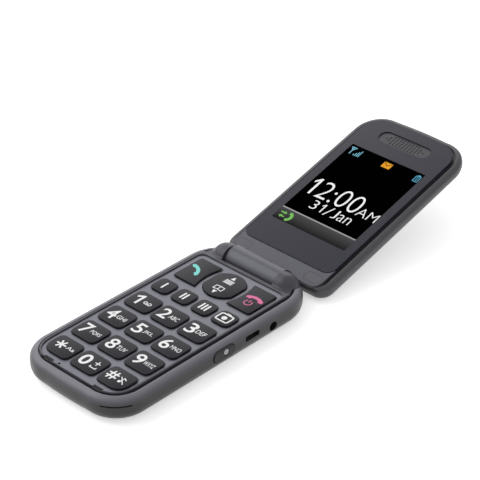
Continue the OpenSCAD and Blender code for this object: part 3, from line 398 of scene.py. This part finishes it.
def cap(name, key, outline, stem_outline):
    """A key cap on its stem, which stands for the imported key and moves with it."""
    stem_foot, stem_top, cap_foot, cap_top = 8.7, 10.5, 10.36, 10.9
    stem = block(stem_outline, stem_foot, stem_top)
    piece = eased(combined(block(outline, cap_foot, cap_top), [stem], "UNION"), 0.25)
    piece.name = name
    piece.data.materials.clear()
    piece.data.materials.append(key_dark)
    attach(piece, key)
    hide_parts(key)


for d in digits:
    cap("cap_" + d, "key_" + d, digit_outline(d, 0), digit_outline(d, -0.9))
white_ink = moulded("white_ink", (0.86, 0.86, 0.86), 0.5, 0.3, 0.0004, 0.1, 0.03)
ink = 0.00002


def lettering(words, x0, y0, x1, y1, weight):
    """Printed words, fitted to a box in millimetres on a flat face."""
    bpy.ops.object.select_all(action="DESELECT")
    bpy.ops.object.text_add()
    bpy.context.object.data.body = words
    bpy.context.object.data.offset = weight
    bpy.context.object.data.extrude = 0.5
    bpy.context.object.data.resolution_u = 5
    bpy.ops.object.convert(target="MESH")
    mark = bpy.context.object
    low = [min(v.co[i] for v in mark.data.vertices) for i in range(2)]
    high = [max(v.co[i] for v in mark.data.vertices) for i in range(2)]
    wide = (x1 - x0) / 1000 / (high[0] - low[0])
    tall = (y1 - y0) / 1000 / (high[1] - low[1])
    mark.scale = (wide, tall, ink)
    mark.location = (x0 / 1000 - low[0] * wide, y0 / 1000 - low[1] * tall, ink / 2)
    bpy.ops.object.transform_apply(location=True, rotation=True, scale=True)
    bpy.ops.object.mode_set(mode="EDIT")
    bpy.ops.mesh.select_all(action="SELECT")
    bpy.ops.mesh.remove_doubles(threshold=0.000001)
    bpy.ops.mesh.normals_make_consistent(inside=False)
    bpy.ops.object.mode_set(mode="OBJECT")
    return mark


def raised(mark):
    """Gives a flat mark the thickness of a printed film."""
    bpy.ops.mesh.select_all(action="SELECT")
    bpy.ops.mesh.extrude_region_move(TRANSFORM_OT_translate={"value": (0, 0, ink)})
    bpy.ops.mesh.select_all(action="SELECT")
    bpy.ops.mesh.normals_make_consistent(inside=False)
    bpy.ops.object.mode_set(mode="OBJECT")
    bpy.ops.object.transform_apply(location=True, rotation=True, scale=True)
    return mark


def bar(x0, y0, x1, y1, width):
    """A printed stroke with round ends between two places, in millimetres."""
    bpy.ops.object.select_all(action="DESELECT")
    bpy.ops.mesh.primitive_plane_add(size=1)
    mark = bpy.context.object
    mark.scale = ((math.hypot(x1 - x0, y1 - y0) + width) / 1000, width / 1000, 1)
    bpy.ops.object.transform_apply(location=False, rotation=False, scale=True)
    bpy.ops.object.mode_set(mode="EDIT")
    bpy.ops.mesh.select_all(action="SELECT")
    bpy.ops.mesh.bevel(offset=0.45 * width / 1000, segments=3, affect="VERTICES")
    mark.rotation_euler.z = math.atan2(y1 - y0, x1 - x0)
    mark.location = ((x0 + x1) / 2000, (y0 + y1) / 2000, 0)
    return raised(mark)


def ring(x, y, radius, width):
    """A printed ring, in millimetres; a ring as wide as its radius is a dot."""
    bpy.ops.object.select_all(action="DESELECT")
    bpy.ops.mesh.primitive_circle_add(vertices=32, radius=radius / 1000, fill_type="NGON")
    mark = bpy.context.object
    bpy.ops.object.mode_set(mode="EDIT")
    bpy.ops.mesh.select_all(action="SELECT")
    if width < radius:
        bpy.ops.mesh.inset(thickness=width / 1000)
        bpy.ops.mesh.delete(type="FACE")
    mark.location = (x / 1000, y / 1000, 0)
    return raised(mark)


def patch(corners):
    """A printed patch with the given corners, in millimetres."""
    return block(corners, 0, 1000 * ink)


def one(x0, y0, x1, y1, width):
    """The figure 1 with its flag, in a box in millimetres."""
    flag, stem = 0.24 * (y1 - y0), x1 - width
    rise = flag / (x1 - 0.8 * width - x0)
    low = y1 - flag - 0.95 * width
    return patch([(stem, y0), (x1, y0), (x1, y1), (x1 - 0.8 * width, y1), (x0, y1 - flag),
                  (x0 + 0.3 * width, low), (stem, low + rise * (stem - x0 - 0.3 * width))])


def united(marks):
    """Melts strokes that cross into one film."""
    return combined(marks[0], marks[1:], "UNION")


def joined(name, marks, finish):
    """Joins marks into one named film with its ink."""
    bpy.ops.object.select_all(action="DESELECT")
    for mark in marks:
        mark.select_set(True)
    bpy.context.view_layer.objects.active = marks[0]
    if len(marks) > 1:
        bpy.ops.object.join()
    film = bpy.context.object
    film.name = name
    film.data.materials.clear()
    film.data.materials.append(finish)
    return film


def printed(name, marks, finish, key, layer=0):
    """A film of ink on the flat top of a key; it rides on that key."""
    film = joined(name, marks, finish)
    film.location.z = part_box(key)[1].z + layer * ink
    bpy.ops.object.transform_apply(location=True, rotation=True, scale=True)
    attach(film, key)
    return film


groups = ["ABC", "DEF", "GHI", "JKL", "MNO", "PQRS", "TUV", "WXYZ"]
for d, letters in zip(digits[1:9], groups):
    x, y = middle("key_" + d)
    reach = 5.1 if len(letters) == 4 or letters == "MNO" else 4.7
    marks = [lettering(d, x - 4.15, y - 3.1, x - 0.15, y + 2.8, 0.013)]
    marks.append(lettering(letters, x + 0.35, y - 1.4, x + reach, y + 0.75, 0.004))
    printed("legend_" + d, marks, white_ink, "key_" + d)

x, y = middle("key_1")
post = [ring(x + 1.5, y - 0.3, 0.85, 0.36), ring(x + 3.5, y - 0.3, 0.85, 0.36)]
post.append(bar(x + 1.5, y - 0.98, x + 3.5, y - 0.98, 0.34))
printed("legend_1", [one(x - 3.9, y - 3.1, x - 0.9, y + 2.8, 1.0), united(post)], white_ink, "key_1")

x, y = middle("key_0")
plus = [bar(x + 2.1, y + 0.75, x + 4.2, y + 0.75, 0.42), bar(x + 3.15, y - 0.3, x + 3.15, y + 1.8, 0.42)]
space = [bar(x + 1.8, y - 2.1, x + 4.5, y - 2.1, 0.42), bar(x + 1.81, y - 2.02, x + 1.81, y - 1.4, 0.42)]
space.append(bar(x + 4.49, y - 2.02, x + 4.49, y - 1.4, 0.42))
zero = lettering("0", x - 4.1, y - 3.1, x + 0.1, y + 2.8, 0.02)
printed("legend_0", [zero, united(plus), united(space)], white_ink, "key_0")

x, y = middle("key_star")
arms = []
for turn in (0, 60, 120):
    dx, dy = 1.95 * math.cos(math.radians(turn)), 1.95 * math.sin(math.radians(turn))
    arms.append(bar(x - 1.3 - dx, y + 0.1 - dy, x - 1.3 + dx, y + 0.1 + dy, 0.72))
case = lettering("Aa", x + 1.5, y - 0.75, x + 5.2, y + 1.05, 0.006)
printed("legend_star", [united(arms), case], white_ink, "key_star")

x, y = middle("key_hash")
rails = []
for shift in (-0.85, 0.85):
    rails.append(bar(x - 2.1 + shift - 0.35, y - 2.1, x - 2.1 + shift + 0.35, y + 2.1, 0.66))
    rails.append(bar(x - 4.1, y + shift, x - 0.1, y + shift, 0.66))
note = [ring(x + 2.0, y - 1.1, 0.62, 0.62), bar(x + 2.45, y - 1.1, x + 2.45, y + 1.35, 0.34)]
note.append(bar(x + 2.45, y + 1.35, x + 3.6, y + 0.7, 0.42))
note.append(bar(x + 1.1, y + 1.2, x + 4.2, y - 1.7, 0.36))
printed("legend_hash", [united(rails), united(note)], white_ink, "key_hash")

# The small keys: three memory keys marked with one, two and three bars, and the camera key
# with a little camera in a rounded frame.
for key in small_keys:
    cap(key.replace("key", "cap"), key, small_outline(key, 0), small_outline(key, -0.9))
for count in (1, 2, 3):
    key = "quick_key_%d" % count
    x, y = middle(key)
    marks = []
    for i in range(count):
        shift = x + 0.2 + 1.42 * (i - (count - 1) / 2)
        marks.append(bar(shift, y - 1.55, shift, y + 1.75, 0.74))
    printed("bars_%d" % count, marks, white_ink, key)

x, y = middle("camera_key")
hump = patch([(x - 1.5, y + 2.0), (x + 1.5, y + 2.0), (x + 0.8, y + 2.85), (x - 0.8, y + 2.85)])
bpy.ops.object.select_all(action="DESELECT")
bpy.ops.mesh.primitive_plane_add(size=1)
shutter_frame = bpy.context.object
shutter_frame.scale = (0.0062, 0.0049, 1)
bpy.ops.object.transform_apply(location=False, rotation=False, scale=True)
bpy.ops.object.mode_set(mode="EDIT")
bpy.ops.mesh.select_all(action="SELECT")
bpy.ops.mesh.bevel(offset=0.0011, segments=5, affect="VERTICES")
bpy.ops.mesh.select_all(action="SELECT")
bpy.ops.mesh.inset(thickness=0.00062)
bpy.ops.mesh.delete(type="FACE")
shutter_frame.location = (x / 1000, y / 1000, 0)
raised(shutter_frame)
printed("camera_mark", [united([shutter_frame, hump]), ring(x, y - 0.1, 1.1, 1.1)], white_ink, "camera_key")

# The navigation key: one round cap with flat sides that rocks up and down, printed with two
# arrows, a grey message sheet with white lines, and an open book.
cap("nav_cap", "nav_key", nav_outline(0), nav_outline(-0.9))
grey_ink = moulded("grey_ink", (0.33, 0.33, 0.34), 0.5, 0.3, 0.0004, 0.1, 0.03)
x, y = middle("nav_key")
x = x + 0.5
message = patch([(x - 2.1, y + 0.6), (x + 2.1, y + 0.6), (x + 2.1, y + 3.3), (x - 2.1, y + 3.3)])
printed("nav_sheet", [message], grey_ink, "nav_key")
rows = []
for row in range(3):
    rows.append(bar(x - 1.6, y + 1.15 + 0.8 * row, x + 1.6, y + 1.15 + 0.8 * row, 0.34))
printed("nav_lines", rows, white_ink, "nav_key", 1)
book = [bar(x, y - 4.02, x, y - 2.03, 0.36)]
for side in (-1, 1):
    book.append(bar(x + 0.06 * side, y - 4.1, x + 2.0 * side, y - 4.35, 0.36))
    book.append(bar(x + 1.98 * side, y - 4.27, x + 1.98 * side, y - 2.28, 0.36))
    book.append(bar(x + 0.06 * side, y - 1.95, x + 1.95 * side, y - 2.19, 0.36))
arrow_up = patch([(x - 0.95, y + 3.9), (x + 0.95, y + 3.9), (x, y + 5.9)])
arrow_down = patch([(x + 0.95, y - 5.1), (x - 0.95, y - 5.1), (x, y - 7.1)])
printed("nav_marks", [arrow_up, arrow_down, united(book)], white_ink, "nav_key")

# The call and end keys: two caps hollowed along the navigation key, with a turquoise
# handset on the left and a pink one over a switch ring on the right.
cap("call_cap", "call_key", call_outline(-1, 0), call_outline(-1, -2.2))
cap("end_cap", "end_key", call_outline(1, 0), call_outline(1, -2.2))


def handset(x, y, width, height, turn):
    """A telephone handset lying on its ends, turned about its middle, in millimetres."""
    half, end = width / 2, 0.27 * width
    points = []
    for i in range(13):
        t = 1 - i / 6
        points.append((half * t, height * (1 - 0.55 * t * t)))
    points += [(-half, 0.08 * height), (-half + 0.1, 0), (end - half - 0.1, 0), (end - half, 0.08 * height)]
    for i in range(9):
        t = -1 + i / 4
        points.append(((half - end) * t, height * (0.42 - 0.16 * t * t)))
    points += [(half - end, 0.08 * height), (half - end + 0.1, 0), (half - 0.1, 0), (half, 0.08 * height)]
    c, s = math.cos(math.radians(turn)), math.sin(math.radians(turn))
    return patch([(x + c * u - s * (v - height / 2), y + s * u + c * (v - height / 2)) for u, v in points])


turquoise_ink = moulded("turquoise_ink", (0.2, 0.66, 0.62), 0.5, 0.3, 0.0004, 0.1, 0.04)
printed("call_mark", [handset(-14.0, 27.5, 7.6, 2.5, -42)], turquoise_ink, "call_key")
pink_ink = moulded("pink_ink", (0.72, 0.15, 0.34), 0.5, 0.3, 0.0004, 0.1, 0.04)
arc = []
for i in range(17):
    a = math.radians(130 + 17.5 * i)
    arc.append((14.7 + 1.75 * math.cos(a), 24.6 + 1.75 * math.sin(a)))
for i in range(17):
    a = math.radians(410 - 17.5 * i)
    arc.append((14.7 + 1.33 * math.cos(a), 24.6 + 1.33 * math.sin(a)))
switch = [patch(arc), bar(14.7, 25.0, 14.7, 26.3, 0.42)]
printed("end_mark", [handset(15.15, 28.2, 7.6, 2.5, 0)] + switch, pink_ink, "end_key")

# The keys in the side walls: a push key on the right and a rocker on the left, both moulded
# in the housing's grey; the push key has a white ring with a dot.
dress(moulded("side_key_grey", (0.017, 0.017, 0.02), 0.42, 0.3, 0.0003, 0.15, 0.06), "side_key", "volume_key")
low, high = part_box("side_key")
alert_mark = joined("alert_mark", [ring(0, 0, 0.95, 0.34), ring(0, 0, 0.25, 0.25)], white_ink)
alert_mark.rotation_euler = (math.radians(90), 0, math.radians(90))
alert_mark.location = (high.x, 0.5 * (low.y + high.y) + 0.0006, 0.0071)
bpy.ops.object.transform_apply(location=True, rotation=True, scale=True)
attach(alert_mark, "side_key")

# The lid's frame: moulding with the hinge barrel and the panel around the lens, painted lilac, while its
# rolled rim outside the groove keeps the housing's grey. The lilac is the face's, darkened as painted shade;
# the rim's grey is lightened as painted light.
# painted shade: the face's lilac darkened for the band, the panel and the barrel
lid_paint_shade_and_light = moulded("lid_paint_shade_and_light", (0.088, 0.088, 0.106), 0.34, 0.4, 0.0004, 0.12, 0.06)
lid_paint_shade_and_light.node_tree.nodes["Principled BSDF"].inputs["Metallic"].default_value = 0.3
tilt = math.radians(14.85)
hinge = (0, 0.0455, 0.0082)
net = lid_paint_shade_and_light.node_tree
at = net.nodes.new("ShaderNodeTexCoord")
level_lid = net.nodes.new("ShaderNodeMapping")
level_lid.vector_type = "TEXTURE"
level_lid.inputs["Location"].default_value = hinge
level_lid.inputs["Rotation"].default_value = (tilt, 0, 0)
split = net.nodes.new("ShaderNodeSeparateXYZ")
high_up = net.nodes.new("ShaderNodeMapRange")
high_up.inputs["From Min"].default_value = -0.0042
high_up.inputs["From Max"].default_value = -0.0036
near_axis = net.nodes.new("ShaderNodeMapRange")
near_axis.inputs["From Min"].default_value = 0.0066
near_axis.inputs["From Max"].default_value = 0.006
painted = net.nodes.new("ShaderNodeMath")
painted.operation = "MAXIMUM"
tint = net.nodes.new("ShaderNodeMix")
tint.data_type = "RGBA"
# painted light: the rim's housing grey lightened well above the wall's
tint.inputs["A"].default_value = (0.07, 0.07, 0.076, 1)
net.links.new(at.outputs["Object"], level_lid.inputs["Vector"])
net.links.new(level_lid.outputs["Vector"], split.inputs["Vector"])
net.links.new(split.outputs["Z"], high_up.inputs["Value"])
net.links.new(split.outputs["Y"], near_axis.inputs["Value"])
net.links.new(high_up.outputs["Result"], painted.inputs[0])
net.links.new(near_axis.outputs["Result"], painted.inputs[1])
net.links.new(painted.outputs["Value"], tint.inputs["Factor"])
net.links.new(net.nodes["shade"].outputs["Color"], tint.inputs["B"])
net.links.new(tint.outputs["Result"], net.nodes["Principled BSDF"].inputs["Base Color"])
dress(lid_paint_shade_and_light, "lid_frame")
cap_rubber = moulded("cap_rubber", (0.09, 0.09, 0.107), 0.45, 0.35, 0.0003, 0.15, 0.06)
dress(cap_rubber, "screw_cover_left", "screw_cover_right")

# The lid's outer cover with the camera's window: the housing's grey, lightened as painted light
# on the lid's sides, and a black glass disc glued flush into it.
dress(moulded("lid_grey_lightened", (0.05, 0.05, 0.055), 0.36, 0.45, 0.0003, 0.15, 0.05), "lid_cover")
dress(moulded("window_glass", (0.004, 0.004, 0.006), 0.1, 0.2, 0.003, 0.02, 0.2), "camera_window")

# The lens: a clear sheet printed from behind in dark lilac, hard coated, with the earpiece
# opening and its perforated plate near the far end; the display lies under it.
dress(moulded("lens_print", (0.019, 0.019, 0.031), 0.2, 0.34, 0.0006, 0.01, 0.04), "lens_panel")
dress(moulded("grille_dark", (0.045, 0.045, 0.052), 0.35, 0.4, 0.0003, 0.15, 0.1), "earpiece_grille")
dress(black_mould, "display_module")

# The picture on the display: a black ground with the time and the date, a row of small
# signs along its far edge, and a grey bar for the soft keys under a bright line.
lens_depth = -0.00325


def shown(name, marks, finish, layer):
    """A lit film on the lens, drawn in millimetres along the lid from the hinge axis."""
    film = joined(name, marks, finish)
    film.location.z = lens_depth + layer * ink
    bpy.ops.object.transform_apply(location=True, rotation=True, scale=True)
    film.rotation_euler.x = tilt
    film.location = hinge
    bpy.ops.object.transform_apply(location=True, rotation=True, scale=True)
    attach(film, "lid")
    return film


def lit_run(name, near, far, start, stop):
    """A colour of the display that gives light of its own, changing along a run of the lid,
    with the fine rows of the dots."""
    finish = bpy.data.materials.new(name)
    finish.use_nodes = True
    net = finish.node_tree
    skin = net.nodes["Principled BSDF"]
    skin.inputs["Base Color"].default_value = (0, 0, 0, 1)
    skin.inputs["Roughness"].default_value = 0.9
    skin.inputs["Specular IOR Level"].default_value = 0
    skin.inputs["Emission Strength"].default_value = 1
    at = net.nodes.new("ShaderNodeTexCoord")
    level_lid = net.nodes.new("ShaderNodeMapping")
    level_lid.vector_type = "TEXTURE"
    level_lid.inputs["Location"].default_value = hinge
    level_lid.inputs["Rotation"].default_value = (tilt, 0, 0)
    split = net.nodes.new("ShaderNodeSeparateXYZ")
    run = net.nodes.new("ShaderNodeMapRange")
    run.inputs["From Min"].default_value = start / 1000
    run.inputs["From Max"].default_value = stop / 1000
    blend = net.nodes.new("ShaderNodeMix")
    blend.data_type = "RGBA"
    blend.inputs["A"].default_value = (*near, 1)
    blend.inputs["B"].default_value = (*far, 1)
    dots = net.nodes.new("ShaderNodeTexWave")
    dots.bands_direction = "Y"
    dots.inputs["Scale"].default_value = 1900
    rows = net.nodes.new("ShaderNodeMapRange")
    rows.inputs["To Min"].default_value = 0.92
    rows.inputs["To Max"].default_value = 1
    lamp = net.nodes.new("ShaderNodeVectorMath")
    lamp.operation = "SCALE"
    net.links.new(at.outputs["Object"], level_lid.inputs["Vector"])
    net.links.new(level_lid.outputs["Vector"], split.inputs["Vector"])
    net.links.new(level_lid.outputs["Vector"], dots.inputs["Vector"])
    net.links.new(split.outputs["Y"], run.inputs["Value"])
    net.links.new(run.outputs["Result"], blend.inputs["Factor"])
    net.links.new(dots.outputs["Fac"], rows.inputs["Value"])
    net.links.new(blend.outputs["Result"], lamp.inputs["Vector"])
    net.links.new(rows.outputs["Result"], lamp.inputs["Scale"])
    net.links.new(lamp.outputs["Vector"], skin.inputs["Emission Color"])
    return finish


def lit(name, colour):
    """One lit colour all over."""
    return lit_run(name, colour, colour, 27, 77)


shown("screen_ground", [patch([(-18.36, 27.55), (18.36, 27.55), (18.36, 76.5), (-18.36, 76.5)])],
      lit("screen_black", (0.0004, 0.0004, 0.0006)), 0)
screen_white = lit("screen_white", (0.95, 0.95, 0.95))
clock = [one(-17.0, 44.8, -14.2, 54.2, 1.0), lettering("2:00", -11.9, 44.7, 8.5, 54.3, -0.014)]
clock.append(lettering("AM", 8.9, 44.9, 18.2, 49.5, -0.014))
shown("clock", clock, screen_white, 1)
date = [lettering("3", -9.4, 38.7, -6.5, 43.5, -0.012), one(-4.9, 38.8, -3.4, 43.5, 0.55)]
date += [lettering("/", -2.1, 38.4, 0.6, 43.6, -0.012), lettering("J", 1.5, 38.7, 3.6, 43.5, -0.012)]
date.append(lettering("an", 4.4, 38.7, 10.3, 42.4, -0.012))
shown("date", date, screen_white, 1)

shown("soft_bar", [patch([(-18.36, 27.55), (18.36, 27.55), (18.36, 33.9), (-18.36, 33.9)])],
      lit_run("bar_grey", (0.016, 0.016, 0.017), (0.072, 0.072, 0.074), 27.5, 33.9), 1)
shown("soft_line", [patch([(-18.36, 33.9), (18.36, 33.9), (18.36, 34.5), (-18.36, 34.5)])],
      lit("bright_line", (0.36, 0.36, 0.36)), 1)

mast = [bar(-16.0, 71.3, -16.0, 74.8, 0.42), bar(-17.2, 75.1, -16.0, 73.4, 0.38)]
mast += [bar(-14.8, 75.1, -16.0, 73.4, 0.38), bar(-17.2, 75.1, -14.8, 75.1, 0.38)]
marks = [united(mast)]
for i in range(4):
    x = -14.0 + 0.8 * i
    marks.append(bar(x, 71.3, x, 71.8 + 0.95 * i, 0.4))
shown("signal_sign", marks, lit("pale_blue", (0.2, 0.5, 0.62)), 1)

envelope = patch([(-0.2, 71.7), (3.9, 71.7), (3.9, 74.8), (-0.2, 74.8)])
shown("letter_sign", [envelope], lit("amber_light", (0.8, 0.36, 0.03)), 1)
fold = united([bar(0.1, 74.5, 1.85, 73.0, 0.3), bar(1.85, 73.0, 3.6, 74.5, 0.3)])
shown("letter_fold", [fold], lit("dark_line", (0.09, 0.03, 0.002)), 2)

can = [bar(15.8, 71.57, 15.8, 74.43, 0.34), bar(17.9, 71.57, 17.9, 74.43, 0.34)]
can += [bar(15.87, 74.5, 17.83, 74.5, 0.34), bar(15.87, 71.5, 17.83, 71.5, 0.34)]
can.append(bar(16.4, 75.0, 17.3, 75.0, 0.5))
marks = [united(can)]
for i in range(3):
    marks.append(bar(16.6, 72.3 + 0.72 * i, 17.1, 72.3 + 0.72 * i, 0.36))
shown("charge_sign", marks, lit("battery_blue", (0.12, 0.42, 0.6)), 1)

arrow_out = [bar(-16.6, 31.6, -14.9, 31.6, 0.6), patch([(-15.1, 30.7), (-13.9, 31.6), (-15.1, 32.5)])]
arrow_in = [bar(-15.6, 29.6, -14.2, 29.6, 0.6), patch([(-15.4, 30.5), (-16.6, 29.6), (-15.4, 28.7)])]
arrows = [united(arrow_out), united(arrow_in)]
shown("calls_sign", arrows + [handset(-11.7, 30.5, 4.8, 2.4, -90)], lit("leaf_green", (0.2, 0.52, 0.12)), 2)
